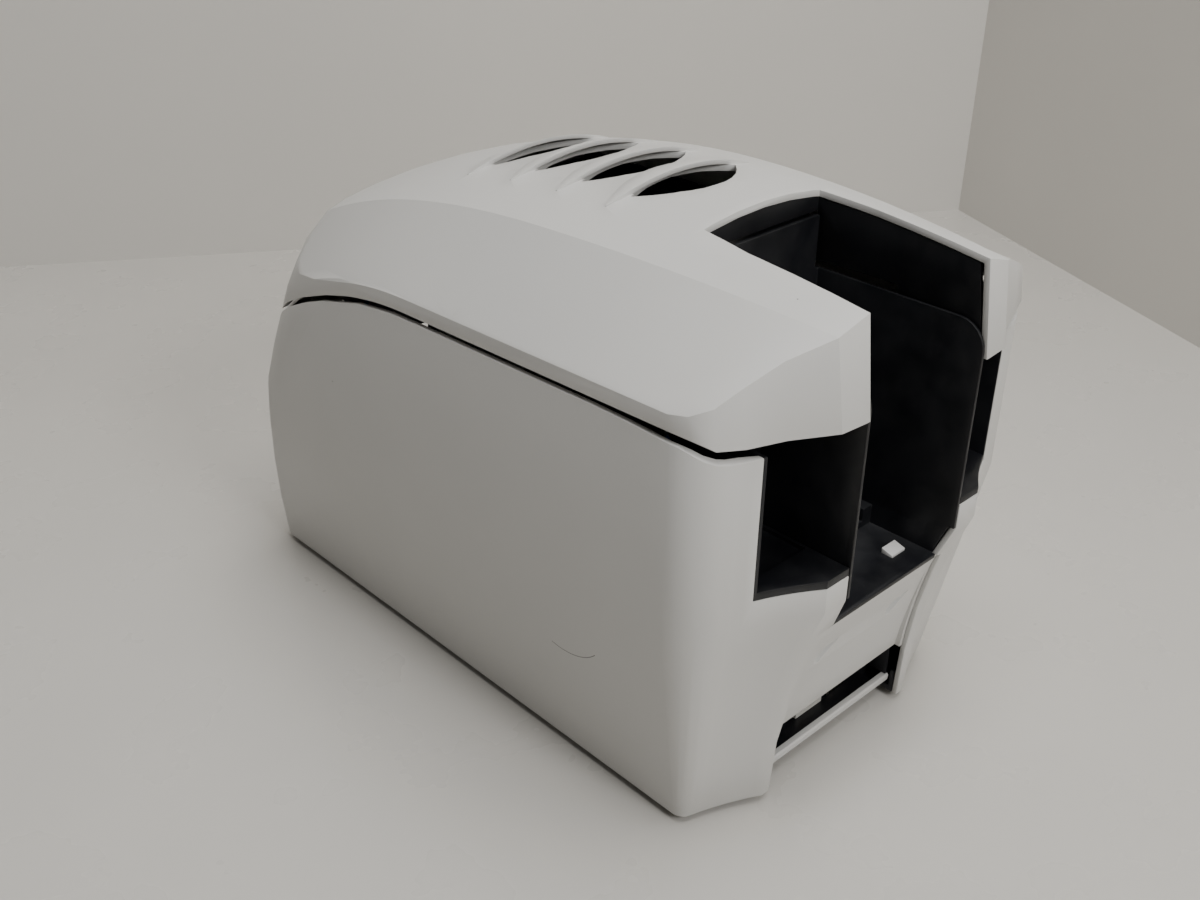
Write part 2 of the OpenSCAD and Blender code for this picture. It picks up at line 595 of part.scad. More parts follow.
// Black trough that takes the card feeder
module feeder_bay() {
    o = bay_w + bay_wall;
    low = bay_floor_z - 2;
    back = strip_y(low) - wall - 0.2;
    color(black) difference() {
        union() {
            // Side walls with a rounded top rear corner
            both_sides() side_view(bay_w, o, concat([[bay_y0, low], [back, low],
                [strip_y(belt_z - 4) - wall - 0.3, belt_z - 4], [rear_y - wall - 0.3, belt_z], [rear_y, belt_z + 0.1],
                [rear_y, bay_top_z - 12]],
                [for (a = [15:15:90]) [rear_y - 12 + 12*cos(a), bay_top_z - 12 + 12*sin(a)]],
                [[bay_y0, bay_top_z]]));
            // Floor and front wall
            block(-bay_w, bay_w, bay_y0, back + 2.4, low, bay_floor_z);
            block(-bay_w, bay_w, bay_y0, bay_y0 + 2, bay_floor_z, bay_top_z);
            block(-33, 33, bay_y0, bay_y0 + 2, bay_top_z, 223.2);
            // Shelf that shades the mechanism from the notch
            block(-32, 32, 75, bay_y0 + 1, 217, 218.6);
            block(-42, 42, 73, bay_y0 - 2.6, 217, 218.6);
            // Raised bed and its side rails
            block(-bay_w, bay_w, bay_y0 + 2, 128, bay_floor_z, bay_floor_z + 3);
            both_sides() block(29, bay_w, 100, 128, bay_floor_z + 3, bay_floor_z + 9);
            // Ears that rest against the steel frames
            both_sides() block(o, frame_x - 0.1, bay_y0, bay_y0 + 14, 100, 104);
        }
        // Card exit through the front wall
        block(-28, 28, bay_y0 - 1, bay_y0 + 3, path_z, path_z + 4.5);
        // Well of the feeder catch
        block(catch_c.x - 4.8, catch_c.x + 4.8, catch_c.y - 3, catch_c.y + 3, low - 1, bay_floor_z + 1);
        // Seat of the card gate
        block(-14, 14, bay_y0 - 1, bay_y0 + 0.6, path_z + 6, path_z + 26);
    }
}
catch_c = [-24, 148];
module feeder_catch() {
    color(white) side_view(catch_c.x - 4.6, catch_c.x + 4.6, [[catch_c.y - 2.8, bay_floor_z - 1.8],
        [catch_c.y + 2.8, bay_floor_z - 1.8], [catch_c.y + 2.8, bay_floor_z + 0.6], [catch_c.y - 2.8, bay_floor_z + 2.2]]);
}
// Gate that sets how thick a card may pass
module thickness_gate() {
    color(steel) {
        block(-13.8, 13.8, bay_y0 - 0.8, bay_y0 + 0.4, path_z + 6.2, path_z + 20);
        block(-10, 10, bay_y0 - 0.8, bay_y0 - 0.1, path_z + 1.2, path_z + 7);
        block(-4, 4, bay_y0 - 4, bay_y0 - 0.5, path_z + 14, path_z + 18);
    }
}

// Black lining of a rear pocket, cut off along the casing's surface
module pocket_liner() {
    o = pocket_w + bay_wall - 0.1;
    color(black) intersection() {
        linear_extrude(205) polygon(plan(150, 0.2));
        difference() {
            block(notch_w, o, pocket_y - bay_wall, rear_y + 5, pocket_z - bay_wall + 0.1, 180);
            block(notch_w - 1, pocket_w - 1.4, pocket_y, rear_y + 10, pocket_z + 2, 182);
            // Behind the broad rim the walls are thinner and the floor is lower
            block(notch_w + bay_wall, pocket_w, pocket_y, 160, pocket_z + 2, 182);
            block(notch_w + bay_wall, pocket_w - bay_wall, pocket_y + 4, 148, pocket_z + 0.2, 182);
        }
    }
}

frame_z0 = base_z + 16;
roller_z = path_z - roller_r;
platen_z = path_z - platen_r;
idler_teeth = platen_teeth + 6;
// Centre distance of a roller from the platen, with the idler gear half way
train = 2*(gear_m*(platen_teeth + idler_teeth)/2 + 0.15);
reach = sqrt(train*train - pow(roller_z - platen_z, 2));
feed_y = head_y + reach;
eject_y = head_y - reach;
clean_y = 36;
clean_z = path_z + 1.2 + roller_r;
idler_z = (roller_z + platen_z)/2;
idler_lean = atan2(idler_z - platen_z, reach/2)*(1 + platen_teeth/idler_teeth);
motor_c = [head_y, platen_z - gear_m*(platen_teeth + pinion_teeth)/2 - 0.15];
supply_c = [64, 168];
takeup_c = [-56, 150];
module bearing_hole(y, z, r) {
    rod_x(frame_x - 5, frame_x + 5, y, z, r + run_gap);
}
module side_frame() {
    color(steel) difference() {
        union() {
            side_view(frame_x, frame_x + frame_t, [[-115, frame_z0], [66, frame_z0], [80, 60], [100, 84], [100, 110],
                [80, 118], [80, 186], [48, 186], [44, 140], [20, 130], [-24, 130], [-40, 140], [-44, 168], [-70, 168],
                [-76, 130], [-115, 110]]);
            for (y = foot_ys) block(frame_x - 8, frame_x + frame_t, y - 6, y + 6, frame_z0, frame_z0 + 1.5);
        }
        for (c = [[head_y, platen_z], [feed_y, roller_z], [eject_y, roller_z], [clean_y, clean_z], supply_c, takeup_c])
            bearing_hole(c.x, c.y, shaft_r);
        for (y = [(head_y + feed_y)/2, (head_y + eject_y)/2]) bearing_hole(y, idler_z, 2);
        bearing_hole(motor_c.x, motor_c.y, 4);
        for (y = foot_ys) translate([post_x, y, frame_z0 - 1]) cylinder(h = 4, r = 1.7);
        side_view(frame_x - 1, frame_x + 3, [[-92, 40], [-34, 40], [-34, 72], [-92, 72]]);
        side_view(frame_x - 1, frame_x + 3, [[-12, 30], [44, 30], [44, 50], [-12, 50]]);
    }
}
module cross_ties() {
    color(steel) for (p = [[-100, 30], [-100, 84], [52, 36]]) rod_x(-frame_x, frame_x, p.x, p.y, 3);
}

// Shaft with its rubber: the shaft runs in both side frames
module shaft(y, z, out) {
    color(steel) rod_x(-frame_x - 3, frame_x + frame_t + out, y, z, shaft_r);
}
module tyre(x0, x1, y, z, r) {
    color(rubber) difference() {
        rod_x(x0, x1, y, z, r);
        rod_x(x0 - 1, x1 + 1, y, z, shaft_r + 0.02);
    }
}
module platen_shaft() shaft(head_y, platen_z, 10);
module platen_sleeve() tyre(-30, 30, head_y, platen_z, platen_r);
module feed_shaft() shaft(feed_y, roller_z, 10);
module feed_tyres() for (x = [-18, 18]) tyre(x - 7, x + 7, feed_y, roller_z, roller_r);
module eject_shaft() shaft(eject_y, roller_z, 10);
module eject_tyres() for (x = [-18, 18]) tyre(x - 7, x + 7, eject_y, roller_z, roller_r);
module cleaning_roller() {
    color([0.2, 0.35, 0.6]) {
        rod_x(-frame_x - 2.5, frame_x + 2.5, clean_y, clean_z, shaft_r);
        rod_x(-29, 29, clean_y, clean_z, roller_r);
    }
}

// Spur gear with straight-flanked teeth, a little slim so that pairs run free
function tooth(m, n, i) = let (r = m*n/2, p = 360/n, a = i*p)
    [for (q = [[-0.30, -1.2], [-0.22, 0], [-0.10, 0.9], [0.10, 0.9], [0.22, 0], [0.30, -1.2]])
        let (b = a + q[0]*p) [(r + q[1]*m)*cos(b), (r + q[1]*m)*sin(b)]];
module gear(y, z, n, x0, x1, bore, turn) {
    translate([x0, y, z]) rotate([90, 0, 90]) rotate(turn) difference() {
        linear_extrude(x1 - x0) polygon([for (i = [0:n - 1]) each tooth(gear_m, n, i)]);
        translate([0, 0, -1]) cylinder(h = x1 - x0 + 2, r = bore);
    }
}
gear_x0 = frame_x + frame_t + 2;
gear_x1 = gear_x0 + 6;
module drive_gear(y, z) {
    color(white) gear(y, z, platen_teeth, gear_x0, gear_x1, shaft_r + 0.02, 0);
}
module platen_gear() drive_gear(head_y, platen_z);
module feed_gear() drive_gear(feed_y, roller_z);
module eject_gear() drive_gear(eject_y, roller_z);
// Idler with its stub pin in the side frame, turned so that its teeth stand between those of the drive gears
module idler(y, side) {
    color(white) gear(y, idler_z, idler_teeth, gear_x0, gear_x1, 1, side);
    color(steel) rod_x(frame_x - 2, gear_x1 + 0.5, y, idler_z, 2);
}
module idler_rear() idler((head_y + feed_y)/2, 180/idler_teeth + idler_lean);
module idler_front() idler((head_y + eject_y)/2, 180/idler_teeth - idler_lean);

module motor_pinion() {
    color([0.8, 0.65, 0.3]) gear(motor_c.x, motor_c.y, pinion_teeth, gear_x0, gear_x1, 1, 90 + 180/pinion_teeth);
    color(steel) rod_x(frame_x - 3, gear_x1 + 1, motor_c.x, motor_c.y, 1.5);
}
module motor() {
    color(rubber) difference() {
        union() {
            rod_x(frame_x - 14, frame_x, motor_c.x, motor_c.y, 13);
            side_view(frame_x - 2, frame_x, [for (q = [[-17, -13], [17, -13], [17, 13], [-17, 13]]) motor_c + q]);
        }
        rod_x(frame_x - 4, frame_x + 1, motor_c.x, motor_c.y, 1.5 + run_gap);
    }
}

module supply_core() {
    color(white) rod_x(-frame_x - 3, frame_x + 3, supply_c.x, supply_c.y, shaft_r);
    color(white) rod_x(-31, 31, supply_c.x, supply_c.y, 7);
}
module supply_ribbon() {
    color([0.1, 0.2, 0.45]) difference() {
        rod_x(-28, 28, supply_c.x, supply_c.y, supply_r);
        rod_x(-29, 29, supply_c.x, supply_c.y, 7.02);
    }
}
module takeup_core() {
    color(white) rod_x(-frame_x - 3, frame_x + 3, takeup_c.x, takeup_c.y, shaft_r);
    color(white) rod_x(-31, 31, takeup_c.x, takeup_c.y, 7);
}
module takeup_ribbon() {
    color([0.35, 0.12, 0.3]) difference() {
        rod_x(-28, 28, takeup_c.x, takeup_c.y, takeup_r);
        rod_x(-29, 29, takeup_c.x, takeup_c.y, 7.02);
    }
}

module control_button() {
    color(white) translate([46, face_y(126) + 4, 126]) rotate([90, 0, 0]) {
        cylinder(h = 5.4, r = 7.05);
        translate([0, 0, -3]) cylinder(h = 3.1, r = 3);
    }
}
module button_lenses() {
    color([0.5, 0.75, 0.9]) for (x = [10, 19, 28])
        translate([x, face_y(126) + wall, 126]) rotate([90, 0, 0]) cylinder(h = 2.3, r = 1.7);
}

sockets = [[-9, 9, 13.4, 3], [-25.8, -13.8, 11.4, 2.5], [15.2, 28.8, 10.4, 2.5]];
socket_z = board_z + 1.6;
function port_outline(g, low) = let (zs = [for (i = [0:4]) low + (port_top_z + 1.5 - low)*i/4])
    concat([for (z = zs) [inner_x(z) - 0.5 - g, z]],
        [for (i = [4:-1:0]) let (z = zs[i]) [g + 0.5 - inner_x(z), z]]);
module connector_plate() {
    color(black) difference() {
        union() {
            rear_view(plate_y, plate_y + 1.5, port_outline(0, base_z + 3));
            block(-cheek_x, cheek_x, plate_y, 141, port_top_z, port_top_z + 1.5);
            // The ends of the recess flare with the cheeks
            difference() {
                rear_view(plate_y, 141, port_outline(0, sill_z + 4.3));
                rear_view(plate_y - 1, 142, port_outline(1.5, base_z));
            }
        }
        for (k = sockets) block(k[0] - 0.2, k[1] + 0.2, plate_y - 1, plate_y + 3, socket_z - 0.2, socket_z + k[2] + 0.2);
    }
}
// Box of a socket with its mouth to the rear
module socket(k, rim) {
    difference() {
        block(k[0], k[1], plate_y - 12, plate_y + k[3], socket_z, socket_z + k[2]);
        block(k[0] + rim, k[1] - rim, plate_y - 9, plate_y + 5, socket_z + rim, socket_z + k[2] - rim);
    }
}
module network_socket() {
    color([0.9, 0.9, 0.88]) {
        socket(sockets[0], 2);
        block(-3, 3, plate_y - 9.5, plate_y, socket_z + 1.5, socket_z + 3.4);
    }
}
module usb_socket() {
    color(steel) socket(sockets[1], 1.2);
    color(white) block(-22.4, -17.2, plate_y - 9.5, plate_y + 1, socket_z + 4, socket_z + 7.4);
}
module power_socket() {
    color(black) socket(sockets[2], 1.5);
    color(steel) for (x = [19.5, 24.5]) block(x - 0.6, x + 0.6, plate_y - 9.5, plate_y + 1, socket_z + 4, socket_z + 7);
}
module main_board() {
    color([0.1, 0.35, 0.2]) block(-cheek_x + 1, cheek_x - 1, 74, plate_y - 0.2, board_z, board_z + 1.6);
    color(black) for (c = [[-20, 88, 12, 12, 2], [6, 92, 9, 9, 1.6], [24, 84, 5, 5, 9]])
        block(c[0] - c[2]/2, c[0] + c[2]/2, c[1] - c[3]/2, c[1] + c[3]/2, board_z + 1.5, board_z + 1.6 + c[4]);
}

hood_shell();
notch_liner();
hood_liner();
hinge_arm();  // hinge_arm_right
mirror([1, 0, 0]) hinge_arm();  // hinge_arm_left
hinge_pin();  // hinge_pin_right
mirror([1, 0, 0]) hinge_pin();  // hinge_pin_left
vent_fan_frame();
vent_fan_rotor();
head_bracket();
thermal_head();
head_heat_sink();
head_hangers();
head_pivot_rod();
catch_tongue();
side_casing();  // side_casing_right
mirror([1, 0, 0]) side_casing();  // side_casing_left
rear_panel();
port_sill();
front_panel();
base_pan();
rubber_feet();
feeder_bay();
pocket_liner();  // pocket_liner_right
mirror([1, 0, 0]) pocket_liner();  // pocket_liner_left
feeder_catch();
thickness_gate();
side_frame();  // side_frame_right
mirror([1, 0, 0]) side_frame();  // side_frame_left
cross_ties();
hinge_bracket();  // hinge_bracket_right
mirror([1, 0, 0]) hinge_bracket();  // hinge_bracket_left
catch_clip();
platen_shaft();
platen_sleeve();
platen_gear();
motor();
motor_pinion();
idler_rear();
idler_front();
feed_shaft();
feed_tyres();
feed_gear();
eject_shaft();
eject_tyres();
eject_gear();
cleaning_roller();
supply_core();
supply_ribbon();
takeup_core();
takeup_ribbon();
control_button();
button_lenses();
connector_plate();
power_socket();
network_socket();
usb_socket();
main_board();
base_screws();
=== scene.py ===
"""Desktop card printer: moulded covers, finishes, small fittings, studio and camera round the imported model."""

import json
import math

import bmesh
import bpy
from bpy.props import FloatProperty, FloatVectorProperty, PointerProperty
from mathutils import Matrix, Vector

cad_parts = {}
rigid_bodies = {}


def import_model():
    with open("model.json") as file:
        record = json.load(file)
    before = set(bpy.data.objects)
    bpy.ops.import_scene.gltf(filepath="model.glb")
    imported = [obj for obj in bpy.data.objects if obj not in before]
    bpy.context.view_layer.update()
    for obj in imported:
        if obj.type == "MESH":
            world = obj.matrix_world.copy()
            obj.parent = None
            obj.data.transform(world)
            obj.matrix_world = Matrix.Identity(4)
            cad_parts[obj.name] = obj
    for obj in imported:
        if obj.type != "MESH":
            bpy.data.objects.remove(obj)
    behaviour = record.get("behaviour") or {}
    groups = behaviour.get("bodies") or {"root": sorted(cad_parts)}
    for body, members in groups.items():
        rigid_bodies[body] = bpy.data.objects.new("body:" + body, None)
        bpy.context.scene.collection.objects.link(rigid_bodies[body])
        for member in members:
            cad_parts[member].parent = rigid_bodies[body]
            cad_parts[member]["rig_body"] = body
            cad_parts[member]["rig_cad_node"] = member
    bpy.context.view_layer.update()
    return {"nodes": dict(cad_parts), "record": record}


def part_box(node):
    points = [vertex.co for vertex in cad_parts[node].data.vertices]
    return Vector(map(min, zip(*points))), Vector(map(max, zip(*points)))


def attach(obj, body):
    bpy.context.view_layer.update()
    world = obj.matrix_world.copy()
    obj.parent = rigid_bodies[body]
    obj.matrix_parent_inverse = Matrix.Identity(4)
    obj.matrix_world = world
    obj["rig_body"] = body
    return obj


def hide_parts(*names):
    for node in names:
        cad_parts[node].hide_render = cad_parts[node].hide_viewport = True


bl_info = {
    "name": "Card Printer Dressing",
    "version": (1, 0, 0),
    "blender": (4, 5, 0),
    "location": "View3D > Sidebar > Card Printer",
    "description": "Builds the covers, finishes, small fittings and studio of a desktop card printer",
    "category": "Object",
}

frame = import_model()
MM = 0.001

# The camera's place in mm and its turn in degrees, solved from the photo's mirrored edges
CAMERA_PLACE = (386.1, 396.3, 401.2)
CAMERA_HEADING = 223.91
CAMERA_PITCH = 29.32
CAMERA_ROLL = -0.54
CAMERA_LENS = 39.67

# Where the two walls meet on the table, in mm, how far they run, and the way each one faces in degrees
WALL_CORNER = (-664, -221)
WALL_LENGTH = 3000
WALL_TURNS = (147.45, 65.5)

# The lamps: name, place and width in metres, and power in watts. Their middles are in front of both walls, because
# what stands behind a wall lights nothing
LAMPS = (
    ("ceiling_light", (0.0, 0.35, 1.7), 1.0, 20.0),
    ("right_light", (0.2, 1.25, 1.0), 0.4, 9.0),
)
# What the lamps point at, in metres, and the strength and colour of the light that comes from all round
LAMP_AIM = (0, 0, 0.12)
SKY_STRENGTH = 0.1
SKY_COLOUR = (1.0, 0.985, 0.96, 1.0)
SENSOR_WIDTH = 36

# The specks of dirt: how far apart they lie, in mm, and how small a share of that they take up
SPECK_APART = 26
SPECK_SHARE = 0.012

# The screw heads on the frames: their height and the depth of the drive in mm, and the drive's inset as a share
SCREW_HEIGHT = 1.6
DRIVE_DEPTH = 0.9
DRIVE_INSET = 0.55

# The network socket's spring contacts: their number and, in mm, their pitch, length and thickness, how far they lie
# in from the mouth and down from the roof, and the run and drop of their bent tips
CONTACT_COUNT = 8
CONTACT_PITCH = 1.02
CONTACT_LENGTH = 7
CONTACT_THICKNESS = 0.35
CONTACT_IN = 5
CONTACT_DOWN = 2.6
CONTACT_TIP = (1.2, 0.9)

# The capacitors on the main board: their number and, in mm, their height and pitch, how far the row lies in from the
# board's edges, and the height of their middles over the board's underside
CAPACITOR_COUNT = 3
CAPACITOR_HEIGHT = 12
CAPACITOR_PITCH = 11
CAPACITOR_IN = 8
CAPACITOR_MIDDLE = 7.6

# The curved scuff on the right side: the middle and the radius of its arc, and where it starts and ends, in mm
SCUFF_MIDDLE = (102.3, 71.7, 90.7)
SCUFF_RADIUS = 29.3
SCUFF_FROM_Y = 66
SCUFF_BELOW_Z = 72
SCUFF_STRENGTH = 0.75

# The hood's crest in plan, in mm: its widest place, how fast it bows in from there, and how near to it a point counts
CREST_X = 66.8
CREST_Y = -45
CREST_BOW = 0.000337
CREST_NEAR = 0.15


def linear(code):
    """Turns an sRGB hex colour into linear red, green and blue."""
    values = [int(code[i:i + 2], 16) / 255 for i in (0, 2, 4)]
    return tuple(v / 12.92 if v <= 0.04045 else ((v + 0.055) / 1.055) ** 2.4 for v in values)


def mm(*values):
    return Vector([v * MM for v in values])


class PrinterSizes(bpy.types.PropertyGroup):
    """Sizes of the finishes and fittings."""

    grain: FloatProperty(name="Eroded grain", description="Width of one pit of the grain on the white covers",
                         default=0.6 * MM, unit="LENGTH")
    cover_edge: FloatProperty(name="Cover edge", description="Radius on the edges of the white covers",
                              default=0.35 * MM, unit="LENGTH")
    liner_edge: FloatProperty(name="Liner edge", description="Radius on the edges of the black mouldings",
                              default=0.3 * MM, unit="LENGTH")
    screw_head: FloatProperty(name="Screw head", description="Radius of the screw heads on the steel frames",
                              default=2.6 * MM, unit="LENGTH")
    contact: FloatProperty(name="Contact", description="Width of a spring contact in the network socket",
                           default=0.5 * MM, unit="LENGTH")
    capacitor: FloatProperty(name="Capacitor", description="Radius of the capacitors on the main board",
                             default=4 * MM, unit="LENGTH")


class PrinterColours(bpy.types.PropertyGroup):
    """Colours that a user would change."""

    shell: FloatVectorProperty(name="Covers", description="White moulded covers", subtype="COLOR", size=3,
                               default=linear("cfcecb"), min=0, max=1)
    dark: FloatVectorProperty(name="Mouldings", description="Black mouldings of the bay and the liners",
                              subtype="COLOR", size=3, default=linear("0e0f13"), min=0, max=1)
    ribbon: FloatVectorProperty(name="Ribbon", description="Fresh dye ribbon", subtype="COLOR", size=3,
                                default=linear("173a66"), min=0, max=1)
    table: FloatVectorProperty(name="Table", description="Table top and walls", subtype="COLOR", size=3,
                               default=linear("cfccc6"), min=0, max=1)


def sizes():
    return bpy.context.scene.printer_sizes


def colours():
    return bpy.context.scene.printer_colours


# Materials


def add(tree, kind, sockets, **settings):
    """Adds a node with its own settings, and sets or links its sockets by name or number."""
    made = tree.nodes.new(kind)
    for name, value in settings.items():
        setattr(made, name, value)
    for name, value in sockets.items():
        if isinstance(value, bpy.types.NodeSocket):
            tree.links.new(value, made.inputs[name])
        else:
            made.inputs[name].default_value = value
    return made


def tint(colour, factor):
    return tuple(min(1.0, c * factor) for c in colour) + (1.0,)


def surface(name, colour, gloss, grain, depth, patch, spread, metallic=0.0, run=(1, 1, 1)):
    """A finish with patches of tone and gloss and a fine grain.

    gloss is the lowest and the highest roughness. grain, depth and patch are in metres. spread is how far the
    tone wanders, and run stretches the pattern, as brushing and winding do.
    """
    material = bpy.data.materials.new(name)
    material.use_nodes = True
    tree = material.node_tree
    shader = tree.nodes["Principled BSDF"]
    shader.inputs["Metallic"].default_value = metallic
    place = add(tree, "ShaderNodeTexCoord", {}).outputs["Object"]
    along = add(tree, "ShaderNodeMapping", {"Vector": place, "Scale": run}).outputs["Vector"]
    cloud = add(tree, "ShaderNodeTexNoise", {"Vector": along, "Scale": 1 / patch, "Detail": 3.0}).outputs["Fac"]
    share = add(tree, "ShaderNodeMapRange", {"Value": cloud, "From Min": 0.3, "From Max": 0.7}).outputs["Result"]
    tone = add(tree, "ShaderNodeMix", {0: share, 6: tint(colour, 1 - spread), 7: tint(colour, 1 + spread)},
               data_type="RGBA").outputs[2]
    tree.links.new(tone, shader.inputs["Base Color"])
    rub = add(tree, "ShaderNodeTexNoise", {"Vector": along, "Scale": 2.5 / patch, "Detail": 4.0}).outputs["Fac"]
    rough = add(tree, "ShaderNodeMapRange", {"Value": rub, "From Min": 0.3, "From Max": 0.7, "To Min": gloss[0],
                                             "To Max": gloss[1]}).outputs["Result"]
    tree.links.new(rough, shader.inputs["Roughness"])
    pits = add(tree, "ShaderNodeTexNoise", {"Vector": along, "Scale": 1 / grain, "Detail": 2.0}).outputs["Fac"]
    bump = add(tree, "ShaderNodeBump", {"Height": pits, "Strength": 0.4, "Distance": depth}).outputs["Normal"]
    tree.links.new(bump, shader.inputs["Normal"])
    return material


def scuffed(material):
    """Adds the marks of use: one curved scuff on the right side, and a few specks of dirt."""
    tree = material.node_tree
    shader = tree.nodes["Principled BSDF"]
    clean = shader.inputs["Base Color"].links[0].from_socket
    place = add(tree, "ShaderNodeTexCoord", {}).outputs["Object"]
    reach = add(tree, "ShaderNodeVectorMath", {0: place, 1: mm(*SCUFF_MIDDLE)}, operation="DISTANCE").outputs["Value"]
    parts = add(tree, "ShaderNodeSeparateXYZ", {"Vector": place}).outputs
    ring = add(tree, "ShaderNodeMath", {0: reach, 1: SCUFF_RADIUS * MM, 2: 0.2 * MM}, operation="COMPARE").outputs[0]
    low = add(tree, "ShaderNodeMath", {0: parts["Z"], 1: SCUFF_BELOW_Z * MM}, operation="LESS_THAN").outputs[0]
    rear = add(tree, "ShaderNodeMath", {0: parts["Y"], 1: SCUFF_FROM_Y * MM}, operation="GREATER_THAN").outputs[0]
    arc = add(tree, "ShaderNodeMath", {0: ring, 1: low}, operation="MULTIPLY").outputs[0]
    arc = add(tree, "ShaderNodeMath", {0: arc, 1: rear}, operation="MULTIPLY").outputs[0]
    cells = add(tree, "ShaderNodeTexVoronoi", {"Vector": place, "Scale": 1 / (SPECK_APART * MM)}).outputs["Distance"]
    speck = add(tree, "ShaderNodeMath", {0: cells, 1: SPECK_SHARE}, operation="LESS_THAN").outputs[0]
    mark = add(tree, "ShaderNodeMath", {0: arc, 1: speck}, operation="MAXIMUM").outputs[0]
    faint = add(tree, "ShaderNodeMath", {0: mark, 1: SCUFF_STRENGTH}, operation="MULTIPLY").outputs[0]
    dirty = add(tree, "ShaderNodeMix", {0: faint, 6: clean, 7: linear("3f3e3c") + (1.0,)},
                data_type="RGBA").outputs[2]
    tree.links.new(dirty, shader.inputs["Base Color"])
    return material


def one_sided(material):
    """Leaves a wall clear from behind, so that a camera outside the room sees in."""
    tree = material.node_tree
    behind = add(tree, "ShaderNodeNewGeometry", {}).outputs["Backfacing"]
    clear = add(tree, "ShaderNodeBsdfTransparent", {}).outputs["BSDF"]
    solid = tree.nodes["Principled BSDF"].outputs["BSDF"]
    mixed = add(tree, "ShaderNodeMixShader", {0: behind, 1: solid, 2: clear}).outputs["Shader"]
    tree.links.new(mixed, tree.nodes["Material Output"].inputs["Surface"])
    return material


MATERIALS = {}


def make_materials():
    """Makes every finish of the printer. Grains too fine to show are drawn about twice as coarse."""
    c, s = colours(), sizes()
    shell, dark, ribbon = tuple(c.shell), tuple(c.dark), tuple(c.ribbon)
    wound = (1, 0.03, 0.03)
    made = {
        # A matte moulding with an eroded grain, which breaks up its highlights
        "shell": scuffed(surface("White PC-ABS moulding", shell, (0.42, 0.55), s.grain, 0.03 * MM, 90 * MM, 0.012)),
        # A satin moulding, a little glossier where fingers and cassettes rub it
        "dark": surface("Black ABS moulding", dark, (0.36, 0.58), 0.7 * MM, 0.03 * MM, 30 * MM, 0.3),
        # Dull rubber that takes up dust
        "rubber": surface("Black nitrile rubber", linear("1b1b1c"), (0.7, 0.9), 0.4 * MM, 0.03 * MM, 20 * MM, 0.2),
        # Zinc plate over rolled sheet, drawn out along its length
        "steel": surface("Zinc-plated steel sheet", linear("a9abad"), (0.28, 0.42), 0.5 * MM, 0.008 * MM, 30 * MM,
                         0.05, 1.0, (1, 0.06, 1)),
        # Ground round bar with fine rings across it
        "shaft": surface("Ground stainless bar", linear("bcbdbe"), (0.16, 0.26), 0.3 * MM, 0.004 * MM, 20 * MM, 0.04,
                         1.0, (1, 0.1, 0.1)),
        # Extrusion with die lines along X
        "sink": surface("Extruded aluminium", linear("b9b7b1"), (0.3, 0.45), 0.4 * MM, 0.01 * MM, 20 * MM, 0.05, 1.0,
                        (0.05, 1, 1)),
        # Smooth glaze on a pale ceramic
        "ceramic": surface("Glazed alumina", linear("c4bda9"), (0.18, 0.3), 0.8 * MM, 0.004 * MM, 20 * MM, 0.04),
        # Waxy natural plastic
        "acetal": surface("Natural acetal", linear("e2dfd4"), (0.35, 0.48), 0.6 * MM, 0.01 * MM, 20 * MM, 0.03),
        # Turned and hobbed brass
        "brass": surface("Machined brass", linear("c9a552"), (0.22, 0.34), 0.3 * MM, 0.006 * MM, 20 * MM, 0.06, 1.0),
        # Film in tight turns, whose edges show as rings
        "ribbon_full": surface("Dye film, fresh", ribbon, (0.2, 0.35), 0.25 * MM, 0.02 * MM, 20 * MM, 0.2,
                               0.0, wound),
        "ribbon_used": surface("Dye film, used", linear("5b2446"), (0.2, 0.35), 0.25 * MM, 0.02 * MM, 20 * MM, 0.2,
                               0.0, wound),
        # Soft tacky rubber
        "cleaner": surface("Tacky silicone", linear("39609a"), (0.25, 0.4), 1 * MM, 0.01 * MM, 20 * MM, 0.06),
        # Clear blue-tinted window
        "lens": surface("Tinted polycarbonate", linear("9cc8dd"), (0.08, 0.15), 1 * MM, 0.002 * MM, 10 * MM, 0.04),
        # Lacquer over copper tracks, which show as lighter patches
        "board": surface("Green solder lacquer", linear("1b5a37"), (0.25, 0.4), 1.2 * MM, 0.02 * MM, 6 * MM, 0.25),
        # Bright plated pressing
        "nickel": surface("Nickel-plated pressing", linear("b9b6ae"), (0.18, 0.3), 0.4 * MM, 0.004 * MM, 10 * MM,
                          0.04, 1.0),
        # White moulded insert
        "insert": surface("White nylon insert", linear("dedcd5"), (0.4, 0.5), 0.5 * MM, 0.01 * MM, 10 * MM, 0.02),
        # Thin gold flash on bronze springs
        "gold": surface("Gold-flashed bronze", linear("d1a84b"), (0.2, 0.3), 0.3 * MM, 0.004 * MM, 5 * MM, 0.03, 1.0),
        # Shrunk sleeve on the capacitors
        "sleeve": surface("Black shrink sleeve", linear("20242c"), (0.25, 0.35), 0.6 * MM, 0.01 * MM, 8 * MM, 0.1),
        # Smooth laminate with a soft gloss
        "table": surface("Pale laminate", tuple(c.table), (0.22, 0.38), 3 * MM, 0.02 * MM, 150 * MM, 0.02),
        # Painted board behind the table
        "wall": one_sided(surface("Pale painted board", tint(c.table, 1.1)[:3], (0.8, 0.95), 3 * MM, 0.05 * MM,
                                  300 * MM, 0.02)),
    }
    MATERIALS.update(made)


